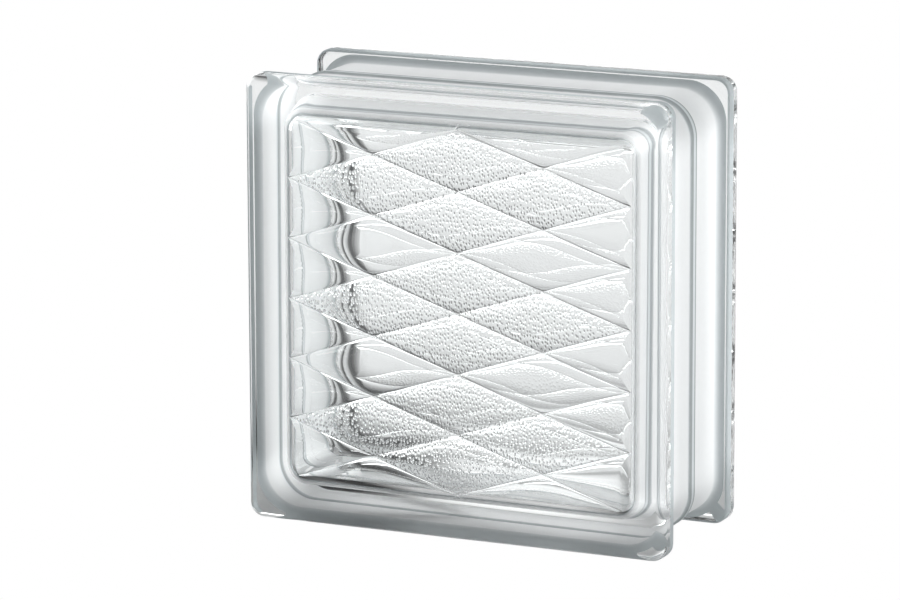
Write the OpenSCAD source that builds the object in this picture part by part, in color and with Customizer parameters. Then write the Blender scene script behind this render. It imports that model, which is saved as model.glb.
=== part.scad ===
// Hollow glass block: two pressed glass halves fused rim to rim at mid thickness.
// The faces are flat outside. Inside, each face carries a lozenge relief of shallow dishes.
// X runs across the face, Z up it, and the front face looks along -Y. Lengths are in millimetres.

/* [Block] */
// Width across the edge flanges
block_w = 190; // [150:1:300]
// Height across the edge flanges
block_h = 190; // [150:1:300]
// Thickness from face to face
block_t = 80; // [60:1:120]

/* [Edge flange] */
// Depth of the flange, measured back from its face
flange_d = 11; // [7:0.5:16]
// How far the flange stands out past the side walls
flange_overhang = 4.5; // [4.5:0.5:8]
// Corner radius of the flange, seen from the front
flange_corner_r = 6.5; // [6:0.5:12]
// Rounding of the edge between the face and the flange
face_edge_r = 3.5; // [1:0.5:4.5]
// Rounding of the flange's rear edge
rear_edge_r = 1; // [0.5:0.25:1.25]

/* [Side wall] */
// Thickness of the side wall at the fused seam
wall_t = 6.5; // [4:0.5:10]
// Corner radius of the side wall, outside
wall_corner_r = 17; // [10:1:25]
// Corner radius of the side wall, inside
cavity_corner_r = 9; // [8:0.5:9.5]
// Fillet where the side wall meets the flange
shoulder_r = 3; // [0.5:0.5:3]
// How much thicker the side wall gets from the seam to the face
wall_draft = 1.5; // [0:0.25:3]

/* [Seam] */
// Width of the bead that the fused rims leave round the block
bead_w = 6; // [3:0.5:8]
// How far the bead stands out of the side wall
bead_h = 0.75; // [0.25:0.25:1.5]

/* [Face] */
// Glass thickness in the middle of a dish
face_t = 7.5; // [5:0.5:11]
// Cove between the cavity's side and the inside of the face
cove_r = 6; // [3:0.5:7.5]

/* [Lozenge relief] */
// Plain margin from the flange's edge to the relief
relief_margin = 18; // [14:0.5:24]
// Lozenges side by side across the relief
cells_across = 2; // [1:1:4]
// Lozenges one above another up the relief
cells_up = 6; // [2:1:8]
// How far the lattice crossings stand proud of the dishes
relief_h = 2; // [0.5:0.25:3]
// How flat the dishes are in the middle: 2 is a round bowl, more is flatter
dish_power = 3.5; // [2:0.5:5]

/* [Hidden] */

half_t = block_t / 2;
flange_z = half_t - flange_d;
cavity_top = half_t - face_t;
cavity_inset = flange_overhang + wall_t;
relief_w = block_w - 2 * relief_margin;
relief_l = block_h - 2 * relief_margin;
cell_w = relief_w / cells_across;
cell_h = relief_l / cells_up;
corner_steps = 6; // flats round each rounded corner
edge_steps = 4; // rings round each rounded edge
dish_steps = 6; // grid steps across each dish
under = 2; // how far the cavity's tools reach past the seam plane

// One rounded rectangle, inset from the block's outline, at height z above the seam plane.
function ring(inset, z, r) = [
    for (q = [0:3], i = [0:corner_steps])
        let (
            turn = q * 90 + i * 90 / corner_steps,
            x = (q == 0 || q == 3 ? 1 : -1) * (block_w / 2 - inset - r),
            y = (q < 2 ? 1 : -1) * (block_h / 2 - inset - r)
        )
        [x + r * cos(turn), y + r * sin(turn), z]
];

// Angles for the rings round a quarter turn.
quarter = [for (i = [0:edge_steps]) i * 90 / edge_steps];

// Each profile is a list of [inset, height above the seam, corner radius], from the seam to the face.
bead_profile = [
    for (t = quarter)
        [flange_overhang - bead_h * cos(t), bead_w / 2 * sin(t), wall_corner_r + bead_h * cos(t)]
];
shoulder_profile = [
    for (t = quarter)
        let (out = shoulder_r * (1 - cos(t)))
        [flange_overhang - out, flange_z - shoulder_r * (1 - sin(t)), wall_corner_r]
];
flange_profile = [
    for (t = quarter)
        let (inset = rear_edge_r * (1 - sin(t)))
        [inset, flange_z + rear_edge_r * (1 - cos(t)), flange_corner_r - inset]
];
face_edge_profile = [
    for (t = quarter)
        let (inset = face_edge_r * (1 - cos(t)))
        [inset, half_t - face_edge_r * (1 - sin(t)), flange_corner_r - inset]
];
outer_profile = concat(bead_profile, shoulder_profile, flange_profile, face_edge_profile);
cavity_profile = concat(
    [[cavity_inset, -under, cavity_corner_r]],
    [
        for (t = quarter)
            let (inset = cove_r * (1 - cos(t)))
            [
                cavity_inset + wall_draft + inset,
                cavity_top - cove_r * (1 - sin(t)),
                cavity_corner_r - inset
            ]
    ]
);

// A solid skinned over the rings of one profile.
module stack(profile) {
    n = 4 * (corner_steps + 1);
    last = len(profile) - 1;
    polyhedron(
        points = [for (p = profile, point = ring(p[0], p[1], p[2])) point],
        faces = concat(
            [[for (i = [0:n - 1]) i]],
            [[for (i = [n - 1:-1:0]) last * n + i]],
            [
                for (k = [0:last - 1], i = [0:n - 1], half = [0, 1])
                    let (
                        a = k * n + i,
                        b = k * n + (i + 1) % n
                    )
                    half == 0 ? [a, a + n, b + n] : [a, b + n, b]
            ]
        )
    );
}

// Where in its lozenge a point lies: 0 on the middle line, 1 on the lattice line.
function off_middle(turns) = abs(2 * (turns - floor(turns)) - 1);

// Height of the cavity's dished ceiling at x, y.
function ceiling(x, y) =
    let (
        u = (x + relief_w / 2) / cell_w,
        v = (y + relief_l / 2) / cell_h,
        rise = pow(off_middle(v - u), dish_power) + pow(off_middle(v + u), dish_power)
    )
    cavity_top - relief_h * rise / 2;

// A block under the dished ceiling, wider and longer than the cavity.
module dished_block() {
    step_x = cell_w / dish_steps;
    step_y = cell_h / dish_steps;
    past_x = ceil((relief_margin - cavity_inset + 1) / step_x);
    past_y = ceil((relief_margin - cavity_inset + 1) / step_y);
    nx = cells_across * dish_steps + 2 * past_x;
    ny = cells_up * dish_steps + 2 * past_y;
    row = nx + 1;
    top = row * (ny + 1);
    x_at = [for (i = [0:nx]) -relief_w / 2 + (i - past_x) * step_x];
    y_at = [for (j = [0:ny]) -relief_l / 2 + (j - past_y) * step_y];
    base = -2 * under;
    rim = concat(
        [for (i = [0:nx - 1]) i],
        [for (j = [0:ny - 1]) j * row + nx],
        [for (i = [nx:-1:1]) ny * row + i],
        [for (j = [ny:-1:1]) j * row]
    );
    polyhedron(
        points = concat(
            [for (y = y_at, x = x_at) [x, y, ceiling(x, y)]],
            [for (k = rim) [x_at[k % row], y_at[floor(k / row)], base]]
        ),
        faces = concat(
            [
                for (j = [0:ny - 1], i = [0:nx - 1], half = [0, 1])
                    let (
                        a = j * row + i,
                        falls = (i - past_x + j - past_y + 1) % dish_steps == 0
                    )
                    falls
                        ? (half == 0 ? [a, a + row, a + 1] : [a + 1, a + row, a + row + 1])
                        : (half == 0 ? [a, a + row, a + row + 1] : [a, a + row + 1, a + 1])
            ],
            [
                for (k = [0:len(rim) - 1], half = [0, 1])
                    let (next = (k + 1) % len(rim))
                    half == 0 ? [rim[k], rim[next], top + next] : [rim[k], top + next, top + k]
            ],
            [[for (k = [0:len(rim) - 1]) top + k]]
        )
    );
}

// One pressed half as a single mesh of its full size, with its rim on the seam plane and its face upward.
module half_shell() {
    resize([block_w, block_h, half_t])
        difference() {
            stack(outer_profile);
            intersection() {
                stack(cavity_profile);
                dished_block();
            }
        }
}

// The half whose face looks along -Y.
module front_half() {
    color([0.83, 0.88, 0.89]) translate([0, 0, block_h / 2]) rotate([90, 0, 0]) half_shell();
}

// The half whose face looks along +Y.
module back_half() {
    color([0.74, 0.81, 0.83]) mirror([0, 1, 0]) translate([0, 0, block_h / 2]) rotate([90, 0, 0]) half_shell();
}

front_half();
back_half();
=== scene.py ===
import math

import bpy
from mathutils import Matrix, Vector


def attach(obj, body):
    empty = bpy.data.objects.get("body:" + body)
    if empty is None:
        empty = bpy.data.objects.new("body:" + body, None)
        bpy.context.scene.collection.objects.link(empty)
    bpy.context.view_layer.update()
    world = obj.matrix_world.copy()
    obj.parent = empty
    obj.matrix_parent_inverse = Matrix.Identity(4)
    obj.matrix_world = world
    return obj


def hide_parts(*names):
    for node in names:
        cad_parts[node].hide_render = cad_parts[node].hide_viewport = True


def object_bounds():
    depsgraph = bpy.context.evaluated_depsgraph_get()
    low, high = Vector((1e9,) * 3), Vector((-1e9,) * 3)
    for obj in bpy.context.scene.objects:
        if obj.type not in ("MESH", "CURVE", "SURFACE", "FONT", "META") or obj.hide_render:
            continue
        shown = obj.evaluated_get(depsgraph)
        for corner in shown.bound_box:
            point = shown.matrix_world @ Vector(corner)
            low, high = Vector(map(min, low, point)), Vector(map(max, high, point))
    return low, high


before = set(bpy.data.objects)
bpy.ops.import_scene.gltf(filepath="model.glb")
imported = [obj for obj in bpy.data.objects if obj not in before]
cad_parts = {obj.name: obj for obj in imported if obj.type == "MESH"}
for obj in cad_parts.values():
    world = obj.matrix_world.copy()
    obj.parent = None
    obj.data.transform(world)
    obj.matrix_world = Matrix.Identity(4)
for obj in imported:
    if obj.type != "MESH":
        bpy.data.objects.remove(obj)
cad_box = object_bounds()

# ---------------------------------------------------------------- camera
# A long lens to the right of the block's front and above its middle, rolled by a fifth of a degree.
low, high = (Vector(corner) for corner in cad_box)
middle = (low + high) / 2
view_azimuth = math.radians(24.774)
view_elevation = math.radians(12.34)
view_roll = math.radians(0.198)
view_distance = 2.2459
aim_right = -0.0174
aim_up = -0.00077
lens_mm = 214.7
film_mm = 36
view_right = Vector((math.cos(view_azimuth), math.sin(view_azimuth), 0))
view_back = Vector((
    math.sin(view_azimuth) * math.cos(view_elevation),
    -math.cos(view_azimuth) * math.cos(view_elevation),
    math.sin(view_elevation),
))
view_up = view_back.cross(view_right)
bpy.ops.object.camera_add()
camera = bpy.context.object
camera.data.sensor_width = film_mm
camera.data.lens = lens_mm
camera.data.clip_end = 50
level = Matrix((view_right, view_up, view_back)).transposed().to_4x4()
turned = level @ Matrix.Rotation(-view_roll, 4, "Z")
aim = middle + turned.to_3x3() @ Vector((aim_right, aim_up, 0))
camera.matrix_world = Matrix.Translation(aim + view_back * view_distance) @ turned
bpy.context.scene.camera = camera

# ---------------------------------------------------------------- studio
# A tent of soft light round the block: strongest at both sides, even behind, weaker overhead and
# almost dark on the viewer's side, with a dark gap low behind. Clear glass then draws its edges in
# greys. The camera itself sees the tent as plain white.
scene = bpy.context.scene
scene.view_settings.view_transform = "Standard"
tent_light = 1.85
side_light = 4.0
lean_of_light = (0.1, 0.0, -0.8)
front_light = 0.03
front_span = (-0.7, 0.0)
overhead_light = 0.42
overhead_span = (0.25, 0.9)
gap_light = 0.25
gap_by_height = ((0.04, 0.0), (0.14, 1.0), (0.4, 1.0), (0.6, 0.0))
gap_behind_span = (0.3, 0.6)
gap_left_span = (-0.56, -0.45)
tent_tint = (0.99, 1.0, 1.0, 1)


def node_adder(tree):
    """Returns a function that adds a node to the tree, sets its values and links its inputs."""
    def add(kind, values=None, inputs=None):
        node = tree.nodes.new(kind)
        for name, value in (values or {}).items():
            setattr(node, name, value)
        for name, value in (inputs or {}).items():
            if isinstance(value, bpy.types.NodeSocket):
                tree.links.new(value, node.inputs[name])
            else:
                node.inputs[name].default_value = value
        return node
    return add


def calculate(add, operation, *numbers):
    """Adds a calculation with one, two or three numbers, and returns its result."""
    return add("ShaderNodeMath", {"operation": operation}, dict(enumerate(numbers))).outputs[0]


def combine(add, operation, *vectors):
    """Adds a calculation with vectors or colours that gives another one."""
    return add("ShaderNodeVectorMath", {"operation": operation}, dict(enumerate(vectors))).outputs[0]


def share_along(add, direction, axis):
    """Adds a measure of how far a direction points along an axis."""
    dot = add("ShaderNodeVectorMath", {"operation": "DOT_PRODUCT"}, {0: direction, 1: axis})
    return dot.outputs["Value"]


def passage(add, value, span, ends, kind="SMOOTHSTEP"):
    """Adds a passage from one end to the other, as value goes through the span."""
    return add("ShaderNodeMapRange", {"interpolation_type": kind}, {
        "Value": value, "From Min": span[0], "From Max": span[1], "To Min": ends[0], "To Max": ends[1],
    }).outputs[0]


def ramp(add, value, stops):
    """Adds a ramp through stops, which are places from 0 to 1, each with its grey or its colour."""
    node = add("ShaderNodeValToRGB", None, {"Fac": value})
    elements = node.color_ramp.elements
    colours = [(place, shade if isinstance(shade, tuple) else (shade,) * 3) for place, shade in stops]
    first, *between, last = colours
    for element, (place, colour) in zip(elements, (first, last)):
        element.position = place
        element.color = (*colour, 1)
    for place, colour in between:
        elements.new(place).color = (*colour, 1)
    return node.outputs["Color"]


def white_to_camera(add, shader, white):
    """Adds a switch that gives the camera the white shader, and every other ray the first one."""
    path = add("ShaderNodeLightPath")
    switch = add("ShaderNodeMixShader", None, {0: path.outputs["Is Camera Ray"], 1: shader, 2: white})
    return switch.outputs[0]


world = bpy.data.worlds.new("studio")
scene.world = world
world.use_nodes = True
world.node_tree.nodes.clear()
add = node_adder(world.node_tree)
direction = add("ShaderNodeTexCoord").outputs["Generated"]
parts = add("ShaderNodeSeparateXYZ", None, {0: direction})
tent = calculate(add, "ADD", share_along(add, direction, lean_of_light), tent_light)
sides = calculate(add, "POWER", parts.outputs["X"], 2.0)
tent = calculate(add, "MULTIPLY_ADD", sides, side_light, tent)
open_front = passage(add, parts.outputs["Y"], front_span, (front_light, 1.0))
overhead = passage(add, parts.outputs["Z"], overhead_span, (1.0, overhead_light))
gap_behind = passage(add, parts.outputs["Y"], gap_behind_span, (0.0, 1.0 - gap_light))
gap_left_end = passage(add, parts.outputs["X"], gap_left_span, (0.0, 1.0))
gap = calculate(add, "MULTIPLY", ramp(add, parts.outputs["Z"], gap_by_height), gap_behind)
gap = calculate(add, "MULTIPLY", gap, gap_left_end)
light = calculate(add, "MULTIPLY", tent, open_front)
light = calculate(add, "MULTIPLY", light, overhead)
light = calculate(add, "MULTIPLY", light, calculate(add, "SUBTRACT", 1.0, gap))
surroundings = add("ShaderNodeBackground", None, {"Color": tent_tint, "Strength": light})
backdrop = add("ShaderNodeBackground", None, {"Color": (1, 1, 1, 1)})
seen = white_to_camera(add, surroundings.outputs[0], backdrop.outputs[0])
add("ShaderNodeOutputWorld", None, {"Surface": seen})

# ---------------------------------------------------------------- floor
# A level sheet of paper, which the camera sees as plain white. For the glass it glows with painted light:
# bright under the block, dim close round it and dimmer towards the viewer, with a painted shadow wedge to
# the left.
floor_size = 12
floor_grey = (0.302, 0.304, 0.306)
glow_by_distance = (
    (0.055, 0.85), (0.085, 0.1), (0.12, 0.16), (0.17, 0.38), (0.25, 0.5), (0.42, 0.53), (0.6, 0.57),
)
front_glow = 0.55
front_glow_span = (-0.9, 0.4)
backwards = (0.1, 0.99, 0)
leftwards = (-1, 0, 0)
painted_shadow_by_heading = ((0.56, 1.0), (0.7, 0.5), (0.8, 0.05), (0.86, 0.1), (0.9, 0.6), (0.97, 1.0))
bpy.ops.mesh.primitive_plane_add(size=floor_size)
floor = bpy.context.object
floor.name = "floor"
floor_white = bpy.data.materials.new("floor_white")
floor_white.use_nodes = True
floor_white.node_tree.nodes.clear()
add = node_adder(floor_white.node_tree)
place = add("ShaderNodeTexCoord").outputs["Object"]
away = add("ShaderNodeVectorMath", {"operation": "LENGTH"}, {0: place}).outputs["Value"]
heading = combine(add, "NORMALIZE", place)
# Painted light and painted shade in the glow: bright under the block, a dim ring close round it, brighter
# further out.
glow = ramp(add, away, glow_by_distance)
behind = passage(add, share_along(add, heading, backwards), front_glow_span, (front_glow, 1.0))
glow = calculate(add, "MULTIPLY", glow, behind)
painted_shadow = ramp(add, share_along(add, heading, leftwards), painted_shadow_by_heading)
glow = calculate(add, "MULTIPLY", glow, painted_shadow)
# Painted shadow: the paper's grey is darkened in the same wedge to the left.
grey = add("ShaderNodeVectorMath", {"operation": "SCALE"}, {0: floor_grey, "Scale": painted_shadow})
paper = add("ShaderNodeBsdfDiffuse", None, {"Color": grey.outputs[0]})
lit = add("ShaderNodeEmission", None, {"Strength": glow})
both = add("ShaderNodeAddShader", None, {0: paper.outputs[0], 1: lit.outputs[0]})
white = add("ShaderNodeEmission", None, {"Strength": 1.0})
seen = white_to_camera(add, both.outputs[0], white.outputs[0])
add("ShaderNodeOutputMaterial", None, {"Surface": seen})
floor.data.materials.append(floor_white)

# ---------------------------------------------------------------- edge flanges
# The flange is the square rim of each pressed half, in soda-lime glass: a plate with rounded
# corners, a soft edge to its face and a tighter one at its back.
width = high.x - low.x
depth = high.y - low.y
height = high.z - low.z
flange_depth = 0.011
flange_corner = 0.0065
flange_corner_steps = 10
face_edge = 0.0037
face_edge_steps = 7
rear_edge = 0.001
rear_edge_steps = 3
near = 1e-6


def deselect_all():
    if bpy.context.object and bpy.context.object.mode != "OBJECT":
        bpy.ops.object.mode_set(mode="OBJECT")
    bpy.ops.object.select_all(action="DESELECT")


def take(piece):
    """Makes piece the one selected, active object."""
    deselect_all()
    piece.select_set(True)
    bpy.context.view_layer.objects.active = piece


def deselect_mesh(mesh):
    for item in (*mesh.vertices, *mesh.edges, *mesh.polygons):
        item.select = False


def rounded_sheet(name, wide, tall, corner, segments, y):
    """A flat sheet at depth y, centred on the block, with rounded corners, left in edit mode."""
    deselect_all()
    centre = (middle.x, y, middle.z)
    bpy.ops.mesh.primitive_plane_add(size=1, location=centre, rotation=(math.pi / 2, 0, 0))
    sheet = bpy.context.object
    sheet.name = name
    sheet.scale = (wide, tall, 1)
    bpy.ops.object.transform_apply(location=True, rotation=True, scale=True)
    bpy.ops.object.mode_set(mode="EDIT")
    bpy.ops.mesh.select_all(action="SELECT")
    bpy.ops.mesh.bevel(offset=corner, segments=segments, affect="VERTICES", profile=0.5)
    bpy.ops.mesh.select_all(action="SELECT")
    return sheet


def point_outwards():
    bpy.ops.mesh.select_all(action="SELECT")
    bpy.ops.mesh.normals_make_consistent(inside=False)


def round_rim(piece, y, radius, segments):
    """Rounds the rim of piece that lies at depth y."""
    bpy.ops.object.mode_set(mode="OBJECT")
    mesh = piece.data
    deselect_mesh(mesh)
    for edge in mesh.edges:
        edge.select = all(abs(mesh.vertices[k].co.y - y) < near for k in edge.vertices)
    bpy.ops.object.mode_set(mode="EDIT")
    bpy.ops.mesh.select_mode(type="EDGE")
    bpy.ops.mesh.bevel(offset=radius, segments=segments, affect="EDGES", profile=0.5)


flange = rounded_sheet("flange", width, height, flange_corner, flange_corner_steps, low.y)
bpy.ops.mesh.extrude_region_move(TRANSFORM_OT_translate={"value": (0, flange_depth, 0)})
point_outwards()
round_rim(flange, low.y, face_edge, face_edge_steps)
round_rim(flange, low.y + flange_depth, rear_edge, rear_edge_steps)
bpy.ops.object.mode_set(mode="OBJECT")

# ---------------------------------------------------------------- side walls and seam bead
# The wall runs from a fillet behind the flange to the seam, and ends in the half bead that the
# softened rims squeeze out when the two halves are fused.
flange_overhang = 0.0045
wall_half = width / 2 - flange_overhang
wall_corner = 0.017
wall_corner_steps = 14
wall_overlap = 0.004
fillet = 0.003
fillet_steps = 6
bead_half = 0.003
bead_rise = 0.00085
bead_profile = ((0.0, 1.15), (0.25, 1.0), (0.75, 0.86), (0.97, 0.66), (1.0, 0.42), (0.93, 0.2), (0.9, 0.0))
seam_y = middle.y
shoulder_y = low.y + flange_depth
wall_start = shoulder_y - wall_overlap


def draw_rings(rings):
    """Extrudes the selected outline along Y through a list of (depth, half width) rings."""
    (at_y, at_half), *others = rings
    for y, half in others:
        grown = half / at_half
        bpy.ops.mesh.extrude_region_move(TRANSFORM_OT_translate={"value": (0, y - at_y, 0)})
        bpy.ops.transform.resize(value=(grown, 1, grown), center_override=(middle.x, y, middle.z))
        at_y, at_half = y, half


foot = wall_half + fillet
fillet_turns = [math.radians(90 * step / fillet_steps) for step in range(fillet_steps + 1)]
wall = rounded_sheet("wall", 2 * foot, 2 * foot, wall_corner, wall_corner_steps, wall_start)
draw_rings(
    [(wall_start, foot)]
    + [(shoulder_y + fillet * (1 - math.cos(turn)), foot - fillet * math.sin(turn)) for turn in fillet_turns]
    + [(seam_y - bead_half * along, wall_half + bead_rise * out) for out, along in bead_profile]
)
point_outwards()
bpy.ops.object.mode_set(mode="OBJECT")


def join_solids(piece, other, operation):
    """Adds other to piece, or keeps what they share, and removes other."""
    take(piece)
    cut = piece.modifiers.new("cut", "BOOLEAN")
    cut.operation = operation
    cut.object = other
    cut.solver = "EXACT"
    bpy.ops.object.modifier_apply(modifier=cut.name)
    bpy.data.objects.remove(other, do_unlink=True)


def fuse_other_half(piece):
    """Opens piece at the seam and mirrors it over the seam plane."""
    take(piece)
    mesh = piece.data
    deselect_mesh(mesh)
    for face in mesh.polygons:
        face.select = all(abs(mesh.vertices[k].co.y - seam_y) < near for k in face.vertices)
    bpy.ops.object.mode_set(mode="EDIT")
    bpy.ops.mesh.select_mode(type="FACE")
    bpy.ops.mesh.delete(type="FACE")
    bpy.ops.object.mode_set(mode="OBJECT")
    other = piece.modifiers.new("other half", "MIRROR")
    other.use_axis = (False, True, False)
    other.use_clip = True
    other.merge_threshold = 2 * near
    bpy.ops.object.modifier_apply(modifier=other.name)


join_solids(flange, wall, "UNION")
outside = flange
fuse_other_half(outside)

# ---------------------------------------------------------------- sealed cavity
# The hollow between the faces, as the plunger left it in each half: drafted sides, a cove round
# the face, and a low ridge of squeezed glass along the seam.
face_glass = 0.0075
wall_glass = 0.0075
wall_draft = 0.0035
cove = 0.0075
cove_steps = 10
cavity_corner = 0.009
cavity_corner_steps = 10
ridge_half = 0.0028
ridge_rise = 0.0014
ridge_profile = ((0.0, 1.2), (0.15, 0.95), (0.55, 0.7), (0.88, 0.4), (1.0, 0.0))
cavity_half = wall_half - wall_glass
cavity_y = low.y + face_glass

cavity_foot = cavity_half - wall_draft
cavity = rounded_sheet(
    "cavity", 2 * cavity_foot, 2 * cavity_foot, cavity_corner, cavity_corner_steps, cavity_y,
)
draw_rings(
    [(cavity_y, cavity_foot)]
    + [(seam_y - ridge_half * along, cavity_half - ridge_rise * inward) for inward, along in ridge_profile]
)
point_outwards()
round_rim(cavity, cavity_y, cove, cove_steps)
bpy.ops.object.mode_set(mode="OBJECT")

# ---------------------------------------------------------------- lozenge relief
# Each face is pressed inside with a lattice of shallow dishes. A dish is two crossed flutes, flat
# in the middle and steep at its edges, and thin crests stand between them.
relief_margin = 0.018
cells_across = 2
cells_up = 6
spare_cells = 2
relief_rise = 0.002
dish_power = 3.5
dish_steps = 20
crowding = 1.55
crest_share = 0.03
crest_rise = 0.00012
field_depth = 0.06
field_past_seam = 0.01
cell_width = (width - 2 * relief_margin) / cells_across
cell_height = (height - 2 * relief_margin) / cells_up


def flute(step):
    """Where a grid step lies across the flute, closer together near the crests, and its height."""
    place = math.copysign(1 - (1 - abs(step)) ** crowding, step)
    crest = max(0.0, (abs(place) - 1 + crest_share) / crest_share)
    return place, relief_rise / 2 * abs(place) ** dish_power + crest_rise * crest


deselect_all()
bpy.ops.mesh.primitive_grid_add(x_subdivisions=dish_steps, y_subdivisions=dish_steps, size=2)
dish = bpy.context.object
for vertex in dish.data.vertices:
    across, rise_across = flute(vertex.co.x)
    along, rise_along = flute(vertex.co.y)
    vertex.co = (
        middle.x + (across - along) * cell_width / 4,
        cavity_y + rise_across + rise_along,
        middle.z + (across + along) * cell_height / 4,
    )
dishes = []
for row in range(-cells_up - spare_cells, cells_up + spare_cells + 1):
    for column in range(-cells_across - spare_cells, cells_across + spare_cells + 1):
        shift = Vector((column * cell_width / 2, 0, row * cell_height / 2))
        past = max(abs(shift.x) - cell_width / 2, abs(shift.z) - cell_height / 2)
        if (row + column) % 2 == 0 or past > cavity_half:
            continue
        copy = dish.copy()
        copy.data = dish.data.copy()
        copy.data.transform(Matrix.Translation(shift))
        bpy.context.collection.objects.link(copy)
        dishes.append(copy)
bpy.data.objects.remove(dish, do_unlink=True)
dish_field = dishes[0]
take(dish_field)
for copy in dishes:
    copy.select_set(True)
bpy.ops.object.join()
bpy.ops.object.mode_set(mode="EDIT")
bpy.ops.mesh.select_all(action="SELECT")
bpy.ops.mesh.remove_doubles(threshold=near)
bpy.ops.mesh.select_all(action="SELECT")
bpy.ops.mesh.extrude_region_move(TRANSFORM_OT_translate={"value": (0, field_depth, 0)})
bpy.ops.transform.resize(value=(1, 0, 1), center_override=(0, seam_y + field_past_seam, 0))
point_outwards()
bpy.ops.object.mode_set(mode="OBJECT")
join_solids(cavity, dish_field, "INTERSECT")
fuse_other_half(cavity)
bpy.ops.object.mode_set(mode="EDIT")
bpy.ops.mesh.select_all(action="SELECT")
bpy.ops.mesh.flip_normals()
bpy.ops.object.mode_set(mode="OBJECT")

# ---------------------------------------------------------------- the fused block
# One piece of annealed glass with a sealed hollow. Its faces are clear; its edges carry the
# maker's pale key coat for mortar, which stops raggedly just short of each face.
smooth_below = math.radians(22)
glass_tint = (0.99, 1.0, 1.0, 1)
glass_ior = 1.52
take(outside)
cavity.select_set(True)
bpy.ops.object.join()
block = bpy.context.object
block.name = "glass_block"
bpy.ops.object.shade_smooth_by_angle(angle=smooth_below)


def new_material(name):
    """A material with only its output, and a function that adds nodes to it."""
    material = bpy.data.materials.new(name)
    material.use_nodes = True
    material.node_tree.nodes.remove(material.node_tree.nodes["Principled BSDF"])
    return material, node_adder(material.node_tree)


def show(material, shader):
    tree = material.node_tree
    tree.links.new(shader.outputs[0], tree.nodes["Material Output"].inputs["Surface"])


def bump(add, height, rise):
    """Adds a bump that stands rise metres where height is 1."""
    return add("ShaderNodeBump", None, {"Height": height, "Distance": rise, "Strength": 1.0}).outputs[0]


def polished_glass(add, normal):
    """Adds clear glass with a fire-polished surface."""
    return add("ShaderNodeBsdfPrincipled", None, {
        "Base Color": glass_tint, "Roughness": 0.0, "IOR": glass_ior,
        "Transmission Weight": 1.0, "Normal": normal,
    })


# Outside face: clear, with the slightest waviness.
waves_per_metre = 90.0
wave_rise = 0.00002
clear, add = new_material("clear_glass")
where = add("ShaderNodeTexCoord")
waves = add("ShaderNodeTexNoise", None, {
    "Vector": where.outputs["Object"], "Scale": waves_per_metre, "Detail": 1.0,
})
show(clear, polished_glass(add, bump(add, waves.outputs["Fac"], wave_rise)))

# Inside of a face: clear dishes. Small upright dashes are stippled over three large lozenges, one
# above the other, each of them four dishes big.
stipple_edge = 0.985
dashes_per_metre = 740.0
dash_squash = 0.6
dash_scatter = 0.8
dash_reach = 0.45
stipple_rise = 0.00022
stippled, add = new_material("stippled_glass")
where = add("ShaderNodeTexCoord")
parts = add("ShaderNodeSeparateXYZ", None, {0: where.outputs["Object"]})
from_middle = calculate(add, "ABSOLUTE", parts.outputs["X"])
sideways = calculate(add, "DIVIDE", from_middle, cell_width)
risen = calculate(add, "SUBTRACT", parts.outputs["Z"], middle.z)
from_row = calculate(add, "PINGPONG", risen, cell_height)
upwards = calculate(add, "DIVIDE", from_row, cell_height)
outwards = calculate(add, "ADD", sideways, upwards)
inside_lozenge = calculate(add, "LESS_THAN", outwards, stipple_edge)
upright = calculate(add, "MULTIPLY", parts.outputs["Z"], dash_squash)
stretched = add("ShaderNodeCombineXYZ", None, {"X": parts.outputs["X"], "Y": upright})
dashes = add("ShaderNodeTexVoronoi", {"feature": "F1", "voronoi_dimensions": "2D"}, {
    "Vector": stretched.outputs[0], "Scale": dashes_per_metre, "Randomness": dash_scatter,
})
dash = passage(add, dashes.outputs["Distance"], (0.0, dash_reach), (0.0, 1.0))
pits = calculate(add, "MULTIPLY", dash, inside_lozenge)
show(stippled, polished_glass(add, bump(add, pits, stipple_rise)))

# Key coat on the edges: a thin pale mineral film, matte outside, with painted shade that greys its tone on
# the bead's flanks and on the flange. Light comes through it, and most of all on the wall near the seam and
# at the corners.
coat_rags_per_metre = 900.0
coat_rag = 0.0022
coat_end_span = (0.0342, 0.0346)
film_grains_per_metre = 420.0
film_rise = 0.00008
film_roughness = 0.6
film_tones = ((0.3, (0.965, 0.975, 0.98)), (0.7, (0.985, 0.995, 1.0)))
# Painted shade: the film's tone is darkened across the bead's flanks, lighter again on its crest and past
# it.
bead_ramp = 0.005
bead_painted_shade = (
    (0.16, (0.8, 0.83, 0.84)), (0.3, (0.42, 0.441, 0.4494)), (0.55, (0.5, 0.525, 0.535)), (0.7, 1.0),
)
# Painted shade: the film's tone darkens to grey over the flange, away from the seam.
flange_ramp = 0.05
flange_painted_shade = ((0.49, 1.0), (0.57, (0.595, 0.63, 0.642)))
thin_on_wall = 0.5
thin_on_flange = 0.2
thin_span = (0.012, 0.0285)
corner_span = (0.16, 0.174)
thin_at_corner = 0.4
coated, add = new_material("key_coat")
where = add("ShaderNodeTexCoord")
parts = add("ShaderNodeSeparateXYZ", None, {0: where.outputs["Object"]})
from_seam = calculate(add, "ABSOLUTE", parts.outputs["Y"])
rag = add("ShaderNodeTexNoise", None, {
    "Vector": where.outputs["Object"], "Scale": coat_rags_per_metre, "Detail": 2.0,
})
ragged = calculate(add, "MULTIPLY_ADD", rag.outputs["Fac"], coat_rag, from_seam)
cover = passage(add, ragged, coat_end_span, (1.0, 0.0), "LINEAR")
film = add("ShaderNodeTexNoise", None, {
    "Vector": where.outputs["Object"], "Scale": film_grains_per_metre, "Detail": 3.0,
})
tone_and_painted_shade = ramp(add, film.outputs["Fac"], film_tones)
# Painted shade on the bead, multiplied into the film's tone.
across_bead = calculate(add, "MULTIPLY", from_seam, 1 / bead_ramp)
tone_and_painted_shade = combine(add, "MULTIPLY", tone_and_painted_shade, ramp(add, across_bead, bead_painted_shade))
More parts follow.
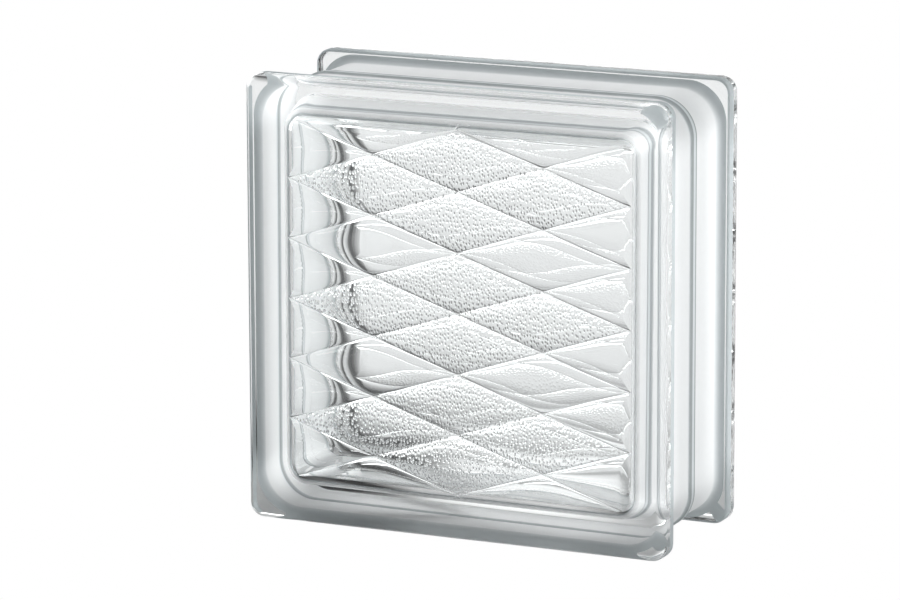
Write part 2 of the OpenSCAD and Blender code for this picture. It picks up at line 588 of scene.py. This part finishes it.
# Painted shade on the flange, multiplied into the film's tone.
along_edge = calculate(add, "MULTIPLY", from_seam, 1 / flange_ramp)
tone_and_painted_shade = combine(add, "MULTIPLY", tone_and_painted_shade, ramp(add, along_edge, flange_painted_shade))
# The coat's colour and its translucent colour carry the film's random tone together with the painted shade
# on bead and flange.
colour = add("ShaderNodeMix", {"data_type": "RGBA"}, {"Factor": cover, 6: glass_tint, 7: tone_and_painted_shade})
glass = add("ShaderNodeBsdfPrincipled", None, {
    "Base Color": colour.outputs[2],
    "Roughness": calculate(add, "MULTIPLY", cover, film_roughness),
    "IOR": glass_ior,
    "Transmission Weight": calculate(add, "SUBTRACT", 1.0, cover),
    "Normal": bump(add, film.outputs["Fac"], film_rise),
    "Specular IOR Level": 0.0,
})
glowing = add("ShaderNodeBsdfTranslucent", None, {"Color": tone_and_painted_shade})
from_middle = calculate(add, "ABSOLUTE", parts.outputs["X"])
risen = calculate(add, "SUBTRACT", parts.outputs["Z"], middle.z)
diagonal = calculate(add, "ADD", from_middle, calculate(add, "ABSOLUTE", risen))
at_corner = passage(add, diagonal, corner_span, (0.0, 1.0), "LINEAR")
thinner = passage(add, from_seam, thin_span, (thin_on_wall, thin_on_flange), "LINEAR")
thinner = calculate(add, "MULTIPLY_ADD", at_corner, thin_at_corner, thinner)
thin = calculate(add, "MULTIPLY", cover, thinner)
show(coated, add("ShaderNodeMixShader", None, {0: thin, 1: glass.outputs[0], 2: glowing.outputs[0]}))

# The coat goes on the edges, outside the hollow, and the stipple on the relief inside the faces.
coat_margin = 0.001
bare_corner = 0.002
materials = (clear, stippled, coated)
for material in materials:
    block.data.materials.append(material)
stippled_slot = materials.index(stippled)
coated_slot = materials.index(coated)
coat_depth = depth / 2 - face_edge + near
relief_depth = depth / 2 - face_glass - 2 * relief_rise
relief_top = depth / 2 - face_glass + near
outside_from = wall_half - coat_margin
corner_start = cavity_half - cavity_corner
outside_corner = cavity_corner + bare_corner
for face in block.data.polygons:
    at = face.center - middle
    deep = abs(at.y)
    out = max(abs(at.x), abs(at.z))
    corner_out = math.hypot(max(0, abs(at.x) - corner_start), max(0, abs(at.z) - corner_start))
    if deep < coat_depth and (out > outside_from or corner_out > outside_corner):
        face.material_index = coated_slot
    elif relief_depth < deep < relief_top and corner_out < cavity_corner:
        face.material_index = stippled_slot

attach(block, "root")
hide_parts("front_half", "back_half")
